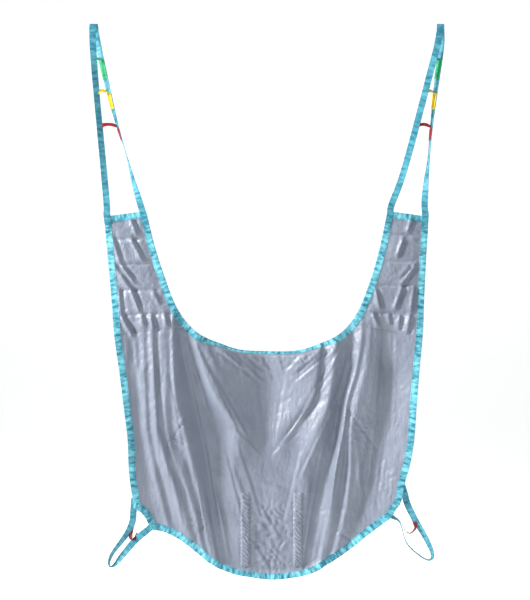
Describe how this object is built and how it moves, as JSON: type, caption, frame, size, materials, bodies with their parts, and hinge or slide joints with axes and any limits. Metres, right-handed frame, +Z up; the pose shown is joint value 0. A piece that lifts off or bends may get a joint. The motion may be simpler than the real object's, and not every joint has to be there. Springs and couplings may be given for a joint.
{
  "type": "patient lift sling",
  "caption": "Fabric patient lift sling with divided legs, looped leg straps with coloured length loops, shoulder loops and a stiffened head edge, hanging open.",
  "frame": {"origin": "midway between the two strap end loops, on the line along which their webbing rests on the hooks", "axes": "+X from the left end loop to the right one, +Y away from the viewer (the side the body hangs back to), +Z up"},
  "size_m": [1.1152, 0.0758, 1.7357],
  "materials": {
    "strap_webbing": "woven polyester webbing, turquoise",
    "edge_binding": "folded woven binding tape, light turquoise, slightly glossy",
    "satin_nylon": "satin-faced nylon, grey, soft sheen",
    "wadding": "white polyester wadding",
    "green_webbing": "woven webbing, green",
    "yellow_webbing": "woven webbing, yellow",
    "red_webbing": "woven webbing, red",
    "stay_plastic": "flexible white plastic strip",
    "thread": "polyester sewing thread, dark turquoise"
  },
  "bodies": {
    "left_strap": {"left_strap": "strap_webbing", "left_strap_stitching": "thread", "left_green_loop": "green_webbing", "left_yellow_loop": "yellow_webbing", "left_red_loop": "red_webbing"},
    "left_leg": {"left_leg_front_layer": "satin_nylon", "left_leg_padding": "wadding", "left_leg_back_layer": "satin_nylon", "left_leg_outer_binding": "edge_binding", "left_leg_inner_binding": "edge_binding", "left_leg_end_binding": "edge_binding", "left_leg_stitching": "thread"},
    "back": {"back_panel": "satin_nylon", "aperture_binding": "edge_binding", "left_side_binding": "edge_binding", "right_side_binding": "edge_binding", "left_corner_binding": "edge_binding", "right_corner_binding": "edge_binding", "head_binding": "edge_binding", "left_stay_channel": "satin_nylon", "right_stay_channel": "satin_nylon", "left_stay": "stay_plastic", "right_stay": "stay_plastic", "left_shoulder_ends": "strap_webbing", "right_shoulder_ends": "strap_webbing", "shoulder_stitching": "thread"},
    "right_leg": {"right_leg_front_layer": "satin_nylon", "right_leg_padding": "wadding", "right_leg_back_layer": "satin_nylon", "right_leg_outer_binding": "edge_binding", "right_leg_inner_binding": "edge_binding", "right_leg_end_binding": "edge_binding", "right_leg_stitching": "thread"},
    "right_strap": {"right_strap": "strap_webbing", "right_strap_stitching": "thread", "right_green_loop": "green_webbing", "right_yellow_loop": "yellow_webbing", "right_red_loop": "red_webbing"},
    "left_shoulder_loop": {"left_shoulder_loop": "strap_webbing", "left_shoulder_red_loop": "red_webbing"},
    "right_shoulder_loop": {"right_shoulder_loop": "strap_webbing", "right_shoulder_red_loop": "red_webbing"}
  },
  "joints": [
    {"name": "left_leg_swing", "type": "hinge", "parent": "left_strap", "child": "left_leg", "pos_m": [-0.45, 0, -0.57], "axis": [-1, 0, 0], "range_deg": [-40, 40]},
    {"name": "left_seat_fold", "type": "hinge", "parent": "left_leg", "child": "back", "pos_m": [-0.38, 0, -0.9], "axis": [-1, 0, 0], "range_deg": [-40, 95]},
    {"name": "right_seat_fold", "type": "hinge", "parent": "back", "child": "right_leg", "pos_m": [0.38, 0, -0.9], "axis": [-1, 0, 0], "range_deg": [-95, 40]},
    {"name": "right_leg_swing", "type": "hinge", "parent": "right_leg", "child": "right_strap", "pos_m": [0.45, 0, -0.57], "axis": [-1, 0, 0], "range_deg": [-40, 40]},
    {"name": "left_shoulder_swing", "type": "hinge", "parent": "back", "child": "left_shoulder_loop", "pos_m": [-0.388, -0.009, -1.5455], "axis": [0.5981, 0, -0.8014], "range_deg": [-75, 75]},
    {"name": "right_shoulder_swing", "type": "hinge", "parent": "back", "child": "right_shoulder_loop", "pos_m": [0.411, -0.009, -1.5065], "axis": [-0.4626, 0, -0.8866], "range_deg": [-75, 75]}
  ],
  "couplings": [
    {"joint": "right_seat_fold", "follows": "left_seat_fold", "ratio": -1},
    {"joint": "right_leg_swing", "follows": "left_leg_swing", "ratio": -1}
  ]
}
